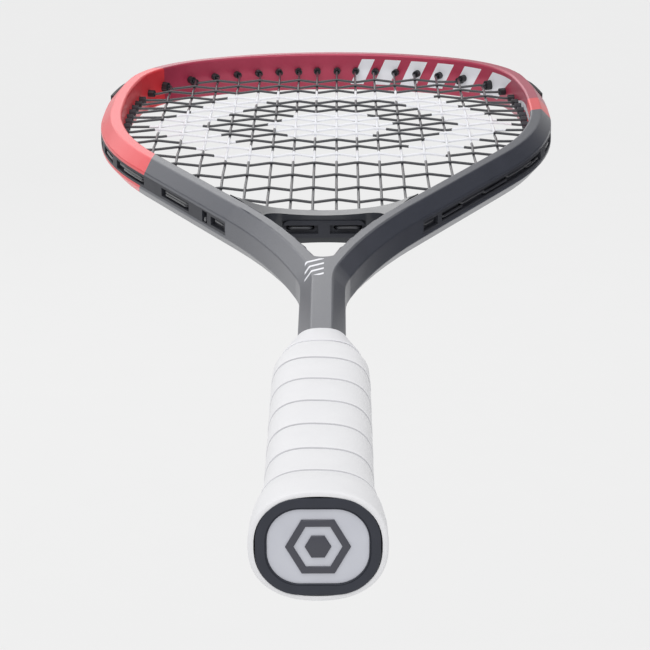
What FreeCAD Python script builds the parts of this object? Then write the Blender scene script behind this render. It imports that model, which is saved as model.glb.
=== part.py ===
import FreeCAD, Part
import Sketcher
import math
import os
import re
from FreeCAD import Vector

# Squash racket.  Origin: centre of the butt end face.  +Y runs along the handle to the tip,
# +Z is square to the strings, +X is to the right.  Millimetres.

doc = FreeCAD.newDocument("squash_racket")
sizes = doc.addObject("Spreadsheet::Sheet", "Sizes")

DRIVING_SIZES = [
    ("overall_length", 685.0, "butt face to the outermost face of the bumper guard"),
    ("overall_width", 213.0, "outside of the hoop at its widest"),
    # Frame beam
    ("beam_width", 10.0, "beam in the plane of the strings"),
    ("beam_height", 19.0, "beam square to the strings"),
    ("beam_side_height", 8.4, "flat outer side between the two broad bevels"),
    ("beam_top_flat", 5.3, "flat strip beside the inner wall, on top and below"),
    ("beam_corner", 1.2, "rounding of the beam's long corners"),
    ("tube_wall", 1.3, "laminate"),
    ("bore_corner", 0.3, "smallest rounding of the bore's corners"),
    ("shaft_width", 17.0, "both arms moulded together"),
    ("shaft_web", 1.2, "rib between the two bores of the shaft"),
    ("shaft_start", 5.0, "lower end of the shaft inside the butt cap"),
    # Plan of the hoop, as radii of the beam's middle line
    ("crown_radius", 136.0, "tip"),
    ("shoulder_radius", 66.0, "between the crown and the sides"),
    ("upper_side_radius", 300.0, "sides above the widest stretch"),
    ("widest_below_crown", 113.0, "crown line to the top of the widest stretch"),
    ("side_straight", 18.0, "straight widest stretch"),
    ("lower_side_radius", 235.0, "sides below the widest stretch"),
    ("arm_angle", 25.4, "straight arm against the shaft, degrees"),
    ("flare_radius", 400.0, "long curve into the arm"),
    ("root_radius", 90.0, "short curve out of the shaft"),
    ("root_angle", 12.0, "turn of that short curve, degrees"),
    ("crotch_radius", 5.6, "round bottom of the throat opening"),
    ("crotch_below_bridge", 77.0, "bottom of the throat opening to the bridge"),
    # Throat bridge
    ("bridge_below_crown", 325.0, "crown line to the front face of the bridge"),
    ("bridge_depth", 8.5, "front face to string side at the middle"),
    ("bridge_height", 11.4, "square to the strings at the middle"),
    ("bridge_end_height", 17.0, "square to the strings where it meets the arms"),
    ("bridge_corner_radius", 22.0, "string-side corner towards each arm"),
    ("bridge_front_radius", 8.0, "front corner towards each arm"),
    # Channel and grommet strips
    ("channel_height", 5.8, "channel in the outer side of the beam"),
    ("channel_depth", 2.6, "channel below the outer side"),
    ("channel_above_bridge", 0.5, "lower end of the channel past the bridge front"),
    ("strip_gap", 0.05, "strip to the channel's sides"),
    ("strip_floor", 0.75, "strip under the string loops"),
    ("slot_height", 3.6, "slot that a string loop lies in"),
    ("slot_end", 2.6, "slot past the middle of its last hole"),
    ("barrel_wall", 0.7, "wall of a grommet barrel"),
    ("barrel_clearance", 0.85, "bore of a barrel over the string's diameter"),
    ("barrel_proud", 3.0, "barrel past the inner wall"),
    ("barrel_gap", 0.05, "barrel to its hole in the beam"),
    # Bumper guard
    ("bumper_proud", 1.4, "bumper past the outer side of the beam"),
    ("bumper_height", 9.2, "bumper square to the strings"),
    ("bumper_joint", 0.3, "between the bumper and each side strip"),
    # Strings
    ("string_diameter", 1.25, "both strings"),
    ("layer_gap", 0.025, "each layer of strings to the string plane"),
    ("string_bend", 2.4, "radius where a string turns before a barrel"),
    ("string_lead", 1.8, "middle of that turn before the barrel's mouth"),
    ("loop_bend", 1.6, "radius where a string turns into the channel"),
    ("loop_gap", 0.175, "loop to the floor of its slot in the channel"),
    ("bridge_loop_gap", 0.1, "loop to the floor of its slot in the bridge strip"),
    ("first_main", 5.0, "first main from the middle"),
    ("last_main_inset", 17.5, "last main from the inner wall at the widest stretch"),
    ("main_spread", 0.02, "how quickly the mains spread towards the sides"),
    ("top_cross_below_crown", 29.0, "crown line to the top cross"),
    ("knot_diameter", 2.2, "stop knot outside the last barrel"),
    ("knot_length", 1.6, "stop knot"),
    ("knot_slot_height", 4.8, "slot that a knot lies in"),
    ("knot_gap", 0.1, "string end above the strip's floor"),
    # Bridge grommet strip
    ("bridge_strip_width", 34.0, "across"),
    ("bridge_strip_height", 7.0, "square to the strings"),
    ("bridge_strip_thickness", 2.2, "along the handle"),
    ("bridge_strip_recess", 1.0, "seat in the bridge's front face"),
    ("bridge_strip_end", 3.0, "rounding of the strip's corners"),
    # Handle
    ("handle_length", 148.0, "pallets at full section, from the butt face"),
    ("taper_length", 30.0, "pallets narrowing to the shaft"),
    ("pallet_width", 30.0, "across the handle"),
    ("pallet_height", 24.0, "square to the strings"),
    ("pallet_bevel", 6.0, "corner facets of the pallets"),
    ("taper_wall", 0.5, "pallet left over the shaft at the end of the taper"),
    ("pallet_fit", 0.1, "pallet to shaft"),
    ("pallet_parting", 0.1, "half the gap between the two pallets"),
    # Butt cap
    ("cap_width", 35.9, "end face of the cap"),
    ("cap_height", 29.3, "end face of the cap"),
    ("cap_bevel", 9.0, "corner facets of the cap's end"),
    ("cap_floor", 4.0, "thickness of the cap's end"),
    ("cap_length", 32.0, "skirt over the pallets"),
    ("cap_skirt", 1.4, "skirt wall at its open end"),
    ("cap_fit", 0.1, "skirt to pallet"),
    # Badge
    ("badge_width", 29.2, "plate in the end face"),
    ("badge_height", 22.6, "plate in the end face"),
    ("badge_bevel", 6.5, "corner facets of the plate"),
    ("badge_recess", 1.6, "depth of its seat"),
    ("badge_thickness", 1.0, "plate"),
    ("badge_fit", 0.1, "plate to its seat"),
    ("emblem_radius", 9.4, "raised hexagon on the plate, middle to point"),
    ("emblem_line", 2.4, "breadth of the hexagon's ring"),
    ("emblem_core", 3.8, "solid hexagon inside the ring, middle to point"),
    # Staples
    ("staple_wire", 1.0, "staple"),
    ("staple_crown", 9.0, "between the legs"),
    ("staple_leg", 1.6, "leg below the crown"),
    ("staple_sunk", 0.15, "crown below the skirt's surface"),
    ("staple_fit", 0.05, "staple to its hole"),
    ("staple_from_butt", 27.0, "butt face to the staples"),
    # Grip
    ("grip_thickness", 1.8, "wrapped grip on the pallets"),
    ("grip_butt_thickness", 2.2, "wrapped grip over the cap's edge"),
    ("grip_fit", 0.05, "grip to what it is wrapped on"),
    ("grip_flare_length", 40.0, "butt to the start of the straight handle"),
    ("tape_width", 19.0, "finishing tape"),
    ("grip_end_thickness", 1.0, "wrapped grip at the end of the taper"),
    ("grip_edge_back", 0.4, "edge of the grip behind the butt face"),
]

for row, (alias, number, note) in enumerate(DRIVING_SIZES, start=1):
    sizes.set(f"A{row}", note)
    sizes.set(f"B{row}", str(number))
    sizes.setAlias(f"B{row}", alias)
doc.recompute()


def size(alias):
    """A driving size, read from the sheet."""
    return float(sizes.get(alias))


# Distances between neighbouring crosses, from the top cross down: the drilling pattern.
CROSS_GAPS = [14.0, 12.0, 15.0, 10.0, 9.5, 9.5, 11.0, 9.5, 11.0, 11.0, 11.0, 12.5, 13.5, 15.5, 17.0,
              22.5, 23.5, 21.5, 19.5]
MAINS_PER_SIDE = 8
BRIDGE_MAINS = 2            # mains on each side whose loop lies in the bridge strip
CROSSES_BELOW_BUMPER = 15   # crosses whose barrels belong to the side strips

UP = Vector(0, 0, 1)
HALF_BEAM = size("beam_width") / 2
HALF_HEIGHT = size("beam_height") / 2
REACH = 2 * size("overall_length")
CLEAR = 1.0                 # how far a cutter goes past what it cuts
BARREL_BORE = size("string_diameter") + size("barrel_clearance")
BARREL_DIAMETER = BARREL_BORE + 2 * size("barrel_wall")
HOLE_DIAMETER = BARREL_DIAMETER + 2 * size("barrel_gap")

finished = []               # (node name, object) in assembly order


def keep(name, thing):
    """Gives a finished object its node name."""
    thing.Label = name
    finished.append((name, thing))
    return thing


def shape_node(name, shape):
    """A sub-part whose shape follows the curved hoop, set by code."""
    feature = doc.addObject("Part::Feature", name)
    feature.Shape = shape
    feature.Placement = FreeCAD.Placement()
    return keep(name, feature)


# ---------------------------------------------------------------- middle line of the beam

class Run:
    """One straight or round stretch of the beam's middle line, on the right half."""

    def __init__(self, length, locate, is_round):
        self.length = length
        self.locate = locate
        self.is_round = is_round


def straight_run(start, heading, length):
    outward = Vector(heading.y, -heading.x, 0)

    def locate(along):
        return start + heading * along, outward
    return Run(length, locate, False)


def round_run(centre, radius, first, last, side):
    """An arc from one angle to another; side is 1 where outward points away from the centre."""
    length = abs(last - first) * radius

    def locate(along):
        angle = first + (last - first) * along / length
        radial = Vector(math.cos(angle), math.sin(angle), 0)
        return centre + radial * radius, radial * side
    return Run(length, locate, True)


def middle_line():
    """Shaft, root curve, flare, arm, sides, shoulder and crown, each tangent to the next."""
    arm = math.radians(size("arm_angle"))
    root = math.radians(size("root_angle"))
    hoop_half = size("overall_width") / 2 - HALF_BEAM
    crown_y = size("overall_length") - size("bumper_proud") - HALF_BEAM
    upper_y = crown_y - size("widest_below_crown")
    lower_y = upper_y - size("side_straight")
    shaft_x = size("shaft_width") / 2 - HALF_BEAM

    lower_radius = size("lower_side_radius")
    lower_centre = Vector(hoop_half - lower_radius, lower_y, 0)
    arm_top = lower_centre + Vector(math.cos(arm), -math.sin(arm), 0) * lower_radius

    flare = size("flare_radius")
    root_radius = size("root_radius")
    curve_x = root_radius * (1 - math.cos(root)) + flare * (math.cos(root) - math.cos(arm))
    curve_y = root_radius * math.sin(root) + flare * (math.sin(arm) - math.sin(root))
    arm_length = (arm_top.x - shaft_x - curve_x) / math.sin(arm)
    heading = Vector(math.sin(arm), math.cos(arm), 0)
    arm_foot = arm_top - heading * arm_length
    root_y = arm_foot.y - curve_y
    root_centre = Vector(shaft_x + root_radius, root_y, 0)
    flare_centre = root_centre + Vector(math.cos(root), -math.sin(root), 0) * (flare - root_radius)

    side_radius = size("upper_side_radius")
    shoulder = size("shoulder_radius")
    crown = size("crown_radius")
    side_centre = Vector(hoop_half - side_radius, upper_y, 0)
    crown_centre = Vector(0, crown_y - crown, 0)
    apart = crown_centre - side_centre
    to_side = side_radius - shoulder
    to_crown = crown - shoulder
    along = (apart.Length ** 2 + to_side ** 2 - to_crown ** 2) / (2 * apart.Length)
    across = math.sqrt(to_side ** 2 - along ** 2)
    unit = apart / apart.Length
    shoulder_centre = side_centre + unit * along + Vector(-unit.y, unit.x, 0) * across
    side_end = math.atan2(shoulder_centre.y - side_centre.y, shoulder_centre.x - side_centre.x)
    crown_start = math.atan2(shoulder_centre.y - crown_centre.y, shoulder_centre.x - crown_centre.x)

    shaft_foot = Vector(shaft_x, size("shaft_start"), 0)
    return [
        straight_run(shaft_foot, Vector(0, 1, 0), root_y - shaft_foot.y),
        round_run(root_centre, root_radius, math.pi, math.pi - root, -1),
        round_run(flare_centre, flare, math.pi - root, math.pi - arm, -1),
        straight_run(arm_foot, heading, arm_length),
        round_run(lower_centre, lower_radius, -arm, 0, 1),
        straight_run(Vector(hoop_half, lower_y, 0), Vector(0, 1, 0), size("side_straight")),
        round_run(side_centre, side_radius, 0, side_end, 1),
        round_run(shoulder_centre, shoulder, side_end, crown_start, 1),
        round_run(crown_centre, crown, crown_start, math.pi / 2, 1),
    ]


LINE = middle_line()
LINE_LENGTH = sum(run.length for run in LINE)
WIDEST_STATION = sum(run.length for run in LINE[:6])


def at_station(station, outward_offset, height=0.0):
    """Point beside the middle line: a station along it, an outward offset and a height."""
    left = station
    for run in LINE:
        if left <= run.length or run is LINE[-1]:
            place, outward = run.locate(left)
            return place + outward * outward_offset + UP * height
        left -= run.length


def outward_at(station):
    return at_station(station, 1) - at_station(station, 0)


def line_edges(offset, first, last):
    """Edges parallel to the middle line between two stations, first one below the last."""
    edges = []
    done = 0.0
    for run in LINE:
        start = max(first - done, 0)
        end = min(last - done, run.length)
        if end - start > 1e-6:
            points = []
            for along in (start, (start + end) / 2, end):
                place, outward = run.locate(along)
                points.append(place + outward * offset)
            if run.is_round:
                edges.append(Part.Arc(*points).toShape())
            else:
                edges.append(Part.LineSegment(points[0], points[2]).toShape())
        done += run.length
    return edges


def band(inner, outer, first, last, low, high):
    """Solid between two offsets, two stations and two heights, on the right half."""
    near = line_edges(inner, first, last)
    far = line_edges(outer, first, last)
    start_cap = Part.LineSegment(at_station(first, inner), at_station(first, outer)).toShape()
    end_cap = Part.LineSegment(at_station(last, inner), at_station(last, outer)).toShape()
    outline = Part.Wire(Part.__sortEdges__(near + [end_cap] + far + [start_cap]))
    face = Part.Face(outline)
    face.translate(UP * low)
    return face.extrude(UP * (high - low))


def mirrored(shape):
    return shape.mirror(Vector(0, 0, 0), Vector(1, 0, 0))


def both_halves(shape):
    """The right half joined to its mirror image at the middle plane."""
    return shape.fuse(mirrored(shape)).removeSplitter()


def solids_of(shape):
    """A plain solid where there is one, else a compound of the solids."""
    parts = shape.Solids
    return parts[0] if len(parts) == 1 else Part.makeCompound(parts)


def find_station(goal, first, last):
    """Station between two others where a rising measure passes zero."""
    for _ in range(50):
        middle = (first + last) / 2
        if goal(middle) < 0:
            first = middle
        else:
            last = middle
    return (first + last) / 2


def rounded_run(points, radii, closed=False):
    """Straight runs joined by tangent arcs; a radius of 0 leaves a corner sharp."""
    count = len(points)
    corners = []
    for index, corner in enumerate(points):
        inner = closed or 0 < index < count - 1
        radius = radii[index] if inner else 0
        if radius > 0:
            back = (points[index - 1] - corner).normalize()
            ahead = (points[(index + 1) % count] - corner).normalize()
            half_turn = (math.pi - back.getAngle(ahead)) / 2
            reach = radius * math.tan(half_turn)
            centre = corner + (back + ahead).normalize() * (radius / math.cos(half_turn))
            nearest = centre + (corner - centre).normalize() * radius
            corners.append((corner + back * reach, nearest, corner + ahead * reach))
        else:
            corners.append((corner, None, corner))
    edges = []
    for index, (_, nearest, leave) in enumerate(corners):
        if nearest is not None:
            edges.append(Part.Arc(corners[index][0], nearest, leave).toShape())
        if index + 1 < count or closed:
            arrive = corners[(index + 1) % count][0]
            if (arrive - leave).Length > 1e-6:
                edges.append(Part.LineSegment(leave, arrive).toShape())
    return edges


# ---------------------------------------------------------------- string pattern

def main_positions():
    """Distances of the mains from the middle, spreading slowly towards the sides."""
    last = size("overall_width") / 2 - size("beam_width") - size("last_main_inset")
    steps = MAINS_PER_SIDE - 1
    spread = size("main_spread")
    whole = steps + spread * steps ** 2
    reach = last - size("first_main")
    return [size("first_main") + reach * (k + spread * k * k) / whole for k in range(MAINS_PER_SIDE)]


def cross_rows():
    """Heights of the crosses along the handle line, from the bottom one up."""
    row = size("overall_length") - size("bumper_proud") - HALF_BEAM - size("top_cross_below_crown")
    rows = [row]
    for gap in CROSS_GAPS:
        row -= gap
        rows.append(row)
    return rows[::-1]


MAINS = main_positions()
CROSSES = cross_rows()
CROWN_Y = size("overall_length") - size("bumper_proud") - HALF_BEAM
BRIDGE_FRONT = CROWN_Y - size("bridge_below_crown")
BRIDGE_BACK = BRIDGE_FRONT + size("bridge_depth")
BRIDGE_STATION = find_station(lambda s: at_station(s, 0).y - BRIDGE_FRONT, 0, WIDEST_STATION)
STRING_RADIUS = size("string_diameter") / 2
LAYER = STRING_RADIUS + size("layer_gap")       # middle of each layer from the string plane
BARREL_FLOOR = HALF_BEAM - size("channel_depth")
SLOT_FLOOR = BARREL_FLOOR + size("strip_floor")
LOOP_OFFSET = SLOT_FLOOR + size("loop_gap") + STRING_RADIUS
MOUTH = -HALF_BEAM - size("barrel_proud") - size("string_lead")   # where a string turns into its hole


def inner_station_at_x(x, lower):
    """Station of a main's hole, below or above the widest stretch."""
    if lower:
        return find_station(lambda s: at_station(s, MOUTH).x - x, BRIDGE_STATION, WIDEST_STATION)
    return find_station(lambda s: x - at_station(s, MOUTH).x, WIDEST_STATION, LINE_LENGTH)


def inner_station_at_y(y):
    """Station of a cross's hole."""
    return find_station(lambda s: at_station(s, MOUTH).y - y, BRIDGE_STATION, LINE_LENGTH)


def bridge_corner(front):
    """Centre and wall touch point of the round corner between the bridge and the right arm."""
    radius = size("bridge_front_radius") if front else size("bridge_corner_radius")
    row_y = BRIDGE_FRONT - radius if front else BRIDGE_BACK + radius
    wall = -HALF_BEAM - radius
    station = find_station(lambda s: at_station(s, wall).y - row_y, LINE[0].length, WIDEST_STATION)
    return at_station(station, wall), at_station(station, -HALF_BEAM)


def arm_entry(x):
    """Station of a main's hole in the arm, and the offset where the string turns into it."""
    centre, touch = bridge_corner(False)
    if x > touch.x:
        return inner_station_at_x(x, True), MOUTH
    y = centre.y - math.sqrt(size("bridge_corner_radius") ** 2 - max(x - centre.x, 0) ** 2)
    mouth = Vector(x, y + size("barrel_proud"), 0)

    def beyond(station):
        outward = outward_at(station)
        return (at_station(station, 0) - mouth).dot(Vector(-outward.y, outward.x, 0))
    station = find_station(beyond, 0, WIDEST_STATION)
    return station, (mouth - at_station(station, 0)).dot(outward_at(station))


TOP_STATIONS = [inner_station_at_x(x, False) for x in MAINS]
CROSS_STATIONS = [inner_station_at_y(y) for y in CROSSES]
ARM_ENTRIES = {k: arm_entry(MAINS[k]) for k in range(BRIDGE_MAINS, MAINS_PER_SIDE)}
ARM_STATIONS = {k: station for k, (station, _) in ARM_ENTRIES.items()}

# Loops on the outside of the right half, as pairs of stations: the mains' and the crosses'.
CROWN_LOOPS = [(TOP_STATIONS[k], TOP_STATIONS[k + 1]) for k in range(1, MAINS_PER_SIDE - 1, 2)]
ARM_LOOPS = [(ARM_STATIONS[k], ARM_STATIONS[k + 1]) for k in range(BRIDGE_MAINS, MAINS_PER_SIDE, 2)]
CROSS_COUNT = len(CROSSES)
RIGHT_CROSS_LOOPS = [(CROSS_STATIONS[k], CROSS_STATIONS[k + 1]) for k in range(0, CROSS_COUNT - 1, 2)]
LEFT_CROSS_LOOPS = [(CROSS_STATIONS[k], CROSS_STATIONS[k + 1]) for k in range(1, CROSS_COUNT - 1, 2)]
RIGHT_KNOTS = [TOP_STATIONS[-1]]
LEFT_KNOTS = [TOP_STATIONS[-1], CROSS_STATIONS[0], CROSS_STATIONS[-1]]
CHANNEL_START = ARM_STATIONS[BRIDGE_MAINS] - size("slot_end") - size("channel_above_bridge")
BUMPER_START = (CROSS_STATIONS[CROSSES_BELOW_BUMPER - 1] + CROSS_STATIONS[CROSSES_BELOW_BUMPER]) / 2


def drill(station, height, inner, outer, diameter):
    """Cylinder square to the beam, from one offset to another."""
    start = at_station(station, inner, height)
    return Part.makeCylinder(diameter / 2, outer - inner, start, outward_at(station))


def beam_holes(inner, outer, diameter):
    """Cylinders for every string hole on the right half, each with its station and layer."""
    holes = []
    for station in TOP_STATIONS:
        holes.append((station, drill(station, LAYER, inner, outer, diameter)))
    for station in CROSS_STATIONS:
        holes.append((station, drill(station, -LAYER, inner, outer, diameter)))
    for station, mouth in ARM_ENTRIES.values():
        start = inner + min(mouth - MOUTH, 0)
        holes.append((station, drill(station, LAYER, start, outer, diameter)))
    return holes


# ---------------------------------------------------------------- frame tube

def beam_section(inset):
    """Closed outline of the beam's section at the foot of the shaft, moved in by an inset."""
    half = HALF_HEIGHT - inset
    side = size("beam_side_height") / 2
    flat = size("beam_top_flat") - HALF_BEAM
    bevel = math.atan2(HALF_HEIGHT - side, HALF_BEAM - flat)
    inner = -HALF_BEAM + inset
    outer = HALF_BEAM - inset
    slide = inset * math.tan(bevel / 2)
    drop = inset * math.tan((math.pi / 2 - bevel) / 2)
    right_side = [(outer, side - drop), (flat - slide, half), (inner, half)]
    left_side = [(x, -z) for x, z in reversed(right_side)]
    corner = max(size("beam_corner") - inset, size("bore_corner"))
    foot = at_station(0, 0)
    outline = [foot + Vector(x, 0, z) for x, z in right_side + left_side]
    return Part.Wire(rounded_run(outline, [corner] * len(outline), closed=True))


def sweep_beam(section):
    spine = Part.Wire(line_edges(0, 0, LINE_LENGTH))
    return spine.makePipeShell([section], True, False)


def right_of(distance):
    """Everything to the right of a distance from the middle plane."""
    return Part.makeBox(REACH, REACH, REACH, Vector(distance, -REACH / 2, -REACH / 2))


def crotch_web():
    """Solid laminate that joins the arms below the throat opening, on the right half."""
    crotch_y = BRIDGE_FRONT - size("crotch_below_bridge")
    top = crotch_y + size("crotch_radius")
    first = LINE[0].length
    last = find_station(lambda s: at_station(s, 0).y - top, 0, WIDEST_STATION)
    edges = line_edges(0, first, last)
    low = at_station(first, 0)
    high = at_station(last, 0)
    corners = [high, Vector(0, top, 0), Vector(0, low.y, 0), low]
    edges += [Part.LineSegment(corners[k], corners[k + 1]).toShape() for k in range(3)]
    face = Part.Face(Part.Wire(Part.__sortEdges__(edges)))
    face.translate(UP * -HALF_HEIGHT)
    web = face.extrude(UP * size("beam_height"))
    centre = Vector(0, top, -HALF_HEIGHT)
    return web.cut(Part.makeCylinder(size("crotch_radius"), size("beam_height"), centre, UP))


def frame_half():
    beam = sweep_beam(beam_section(0))
    beam = beam.common(right_of(0))
    beam = beam.fuse(crotch_web())
    channel_half = size("channel_height") / 2
    channel = band(BARREL_FLOOR, HALF_BEAM + CLEAR, CHANNEL_START, LINE_LENGTH, -channel_half,
                   channel_half)
    bore = sweep_beam(beam_section(size("tube_wall"))).common(right_of(size("shaft_web") / 2))
    liner = band(BARREL_FLOOR - size("tube_wall"), HALF_BEAM + CLEAR, CHANNEL_START - size("tube_wall"),
                 LINE_LENGTH, -channel_half - size("tube_wall"), channel_half + size("tube_wall"))
    bore = bore.cut(liner)
    holes = [hole for _, hole in beam_holes(-HALF_BEAM - CLEAR, HALF_BEAM + 2 * CLEAR, HOLE_DIAMETER)]
    return beam.cut(bore).cut(channel).cut(Part.makeCompound(holes))


shape_node("frame_tube", solids_of(both_halves(frame_half())))


# ---------------------------------------------------------------- throat bridge

def bridge_block():
    """Plate across the throat with round corners towards the arms, before its height is shaped."""
    margin = size("bridge_corner_radius")
    reach_x = at_station(BRIDGE_STATION, 0).x + margin
    low = BRIDGE_FRONT - margin
    high = BRIDGE_BACK + margin
    middle = band(-HALF_BEAM, HALF_BEAM, 0, LINE_LENGTH, -REACH, REACH)
    hoop = middle.fuse(mirrored(middle))
    plate = Part.makeBox(2 * reach_x, high - low, size("beam_height"), Vector(-reach_x, low, -HALF_HEIGHT))
    plate = plate.cut(hoop)
    arm = math.radians(size("arm_angle"))
    cutters = []
    for front in (False, True):
        radius = size("bridge_front_radius") if front else size("bridge_corner_radius")
        edge_y = BRIDGE_FRONT if front else BRIDGE_BACK
        direction = -1 if front else 1
        centre, touch = bridge_corner(front)
        far_y = edge_y + direction * 3 * size("bridge_corner_radius")
        swing = Vector(math.cos(arm), -math.sin(arm), 0) + Vector(0, -direction, 0)
        nearest = centre + swing.normalize() * radius
        corners = [touch, Vector(touch.x, far_y, 0), Vector(0, far_y, 0), Vector(0, edge_y, 0),
                   Vector(centre.x, edge_y, 0)]
        edges = [Part.LineSegment(corners[k], corners[k + 1]).toShape() for k in range(4)]
        edges.append(Part.Arc(corners[-1], nearest, touch).toShape())
        face = Part.Face(Part.Wire(edges))
        face.translate(UP * -REACH)
        cutter = face.extrude(UP * 2 * REACH)
        cutters += [cutter, mirrored(cutter)]
    return plate.cut(Part.makeCompound(cutters))


def bridge_shape():
    block = bridge_block()
    solids = [solid for solid in block.Solids if abs(solid.CenterOfMass.x) < 1]
    block = max(solids, key=lambda solid: solid.Volume)
    half = size("bridge_height") / 2
    rise = (size("bridge_end_height") - size("bridge_height")) / 2
    reach = at_station(BRIDGE_STATION, -HALF_BEAM).x
    radius = (reach ** 2 + rise ** 2) / (2 * rise)
    start = Vector(0, -REACH / 2, half + radius)
    upper = Part.makeCylinder(radius, REACH, start, Vector(0, 1, 0))
    lower = upper.mirror(Vector(0, 0, 0), UP)
    bridge = block.cut(upper).cut(lower)
    cuts = []
    for x in MAINS[:BRIDGE_MAINS]:
        for side in (-1, 1):
            start = Vector(side * x, BRIDGE_FRONT - CLEAR, LAYER)
            length = size("bridge_depth") + 2 * CLEAR
            cuts.append(Part.makeCylinder(HOLE_DIAMETER / 2, length, start, Vector(0, 1, 0)))
    for station, mouth in ARM_ENTRIES.values():
        arm_hole = drill(station, LAYER, min(mouth, MOUTH), 0, HOLE_DIAMETER)
        cuts += [arm_hole, mirrored(arm_hole)]
    gap = size("strip_gap")
    width = size("bridge_strip_width") + 2 * gap
    height = size("bridge_strip_height") + 2 * gap
    seat = Part.makeBox(width, size("bridge_strip_recess") + CLEAR, height,
                        Vector(-width / 2, BRIDGE_FRONT - CLEAR, -height / 2))
    return solids_of(bridge.cut(Part.makeCompound(cuts)).cut(seat))


shape_node("throat_bridge", bridge_shape())


# ---------------------------------------------------------------- bumper guard and side strips

TRIM = 0.01     # keeps a slot that crosses the bumper's joint inside its own strip


def slot_cutter(pair, top, height):
    """Slot over one string loop or knot, from the strip's floor out past the strip."""
    first = min(pair) - size("slot_end")
    last = min(max(pair) + size("slot_end"), LINE_LENGTH)
    half = height / 2
    return band(SLOT_FLOOR, top + CLEAR, first, last, -half, half)


def barrels(first, last, outer, diameter, inner_extra=0.0):
    """Cylinders of the grommet barrels between two stations, without those in the bridge."""
    inner = -HALF_BEAM - size("barrel_proud") - inner_extra
    return [cylinder for station, cylinder in beam_holes(inner, outer, diameter) if first < station < last]


def strip_shape(core, first, last, loops, knots, top):
    """A moulded strip with its barrels, bores and slots, on the right half."""
    body = core.fuse(barrels(first, last, SLOT_FLOOR, BARREL_DIAMETER))
    cuts = barrels(first, last, top + 2 * CLEAR, BARREL_BORE, CLEAR)
    height = size("slot_height")
    cuts += [slot_cutter(pair, top, height) for pair in loops if first < min(pair) and max(pair) < last]
    height = size("knot_slot_height")
    cuts += [slot_cutter((knot, knot), top, height) for knot in knots if first < knot < last]
    return body.cut(Part.makeCompound(cuts))


def side_strip(cross_loops):
    first = CHANNEL_START + size("strip_gap")
    last = BUMPER_START - size("bumper_joint")
    half = size("channel_height") / 2 - size("strip_gap")
    core = band(BARREL_FLOOR, HALF_BEAM, first, last, -half, half)
    loops = ARM_LOOPS + cross_loops
    crossing = [pair for pair in cross_loops if min(pair) < last <= max(pair)]
    loops += [(min(pair), last - size("slot_end") - TRIM) for pair in crossing]
    return core, first, last, loops


def bumper_half(cross_loops, knots):
    half = size("channel_height") / 2 - size("strip_gap")
    cap_half = size("bumper_height") / 2
    top = HALF_BEAM + size("bumper_proud")
    core = band(BARREL_FLOOR, top, BUMPER_START, LINE_LENGTH, -half, half)
    cap = band(HALF_BEAM, top, BUMPER_START, LINE_LENGTH, -cap_half, cap_half)
    centre_loop = (TOP_STATIONS[0], LINE_LENGTH)
    loops = CROWN_LOOPS + cross_loops
    crossing = [pair for pair in cross_loops if min(pair) < BUMPER_START <= max(pair)]
    loops += [(BUMPER_START + size("slot_end") + TRIM, max(pair)) for pair in crossing]
    body = strip_shape(core.fuse(cap), BUMPER_START, LINE_LENGTH + CLEAR, loops, knots, top)
    return body.cut(slot_cutter(centre_loop, top, size("slot_height")))


right_bumper = bumper_half(RIGHT_CROSS_LOOPS, RIGHT_KNOTS)
bumper = right_bumper.fuse(mirrored(bumper_half(LEFT_CROSS_LOOPS, LEFT_KNOTS)))
shape_node("bumper_guard", solids_of(bumper.removeSplitter()))
right_core, strip_first, strip_last, right_loops = side_strip(RIGHT_CROSS_LOOPS)
shape_node("right_grommet_strip",
           solids_of(strip_shape(right_core, strip_first, strip_last, right_loops, RIGHT_KNOTS, HALF_BEAM)))
left_core, strip_first, strip_last, left_loops = side_strip(LEFT_CROSS_LOOPS)
left_strip = strip_shape(left_core, strip_first, strip_last, left_loops, LEFT_KNOTS, HALF_BEAM)
shape_node("left_grommet_strip", solids_of(mirrored(left_strip)))


# ---------------------------------------------------------------- bridge grommet strip

def bridge_strip():
    width = size("bridge_strip_width")
    height = size("bridge_strip_height")
    thickness = size("bridge_strip_thickness")
    back = BRIDGE_FRONT + size("bridge_strip_recess")
    front = back - thickness
    plate = Part.makeBox(width, thickness, height, Vector(-width / 2, front, -height / 2))
    corners = [edge for edge in plate.Edges
               if abs(edge.Vertexes[0].Point.y - edge.Vertexes[1].Point.y) > thickness / 2]
    plate = plate.makeFillet(size("bridge_strip_end"), corners)
    floor = back - size("strip_floor")
    tubes = []
    cuts = []
    for side in (-1, 1):
        for x in MAINS[:BRIDGE_MAINS]:
            start = Vector(side * x, back, LAYER)
            length = size("bridge_depth") - size("bridge_strip_recess") + size("barrel_proud")
            tubes.append(Part.makeCylinder(BARREL_DIAMETER / 2, length, start, Vector(0, 1, 0)))
            start = Vector(side * x, front - CLEAR, LAYER)
            through = length + thickness + 2 * CLEAR
            cuts.append(Part.makeCylinder(BARREL_BORE / 2, through, start, Vector(0, 1, 0)))
        low = side * MAINS[0] if side > 0 else side * MAINS[BRIDGE_MAINS - 1]
        span = MAINS[BRIDGE_MAINS - 1] - MAINS[0] + 2 * size("slot_end")
        start = Vector(low - size("slot_end"), front - CLEAR, -size("slot_height") / 2)
        cuts.append(Part.makeBox(span, floor - front + CLEAR, size("slot_height"), start))
    return solids_of(plate.fuse(tubes).cut(Part.makeCompound(cuts)))


shape_node("bridge_grommet_strip", bridge_strip())


# ---------------------------------------------------------------- strings

def loop_points(first, last, height):
    """Corners of a string loop that leaves one hole and enters the next, along the channel."""
    stations = [first, first + (last - first) / 3, last - (last - first) / 3, last]
    return [at_station(station, LOOP_OFFSET, height) for station in stations]


def flip(points):
    return [Vector(-point.x, point.y, point.z) for point in points]


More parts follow.
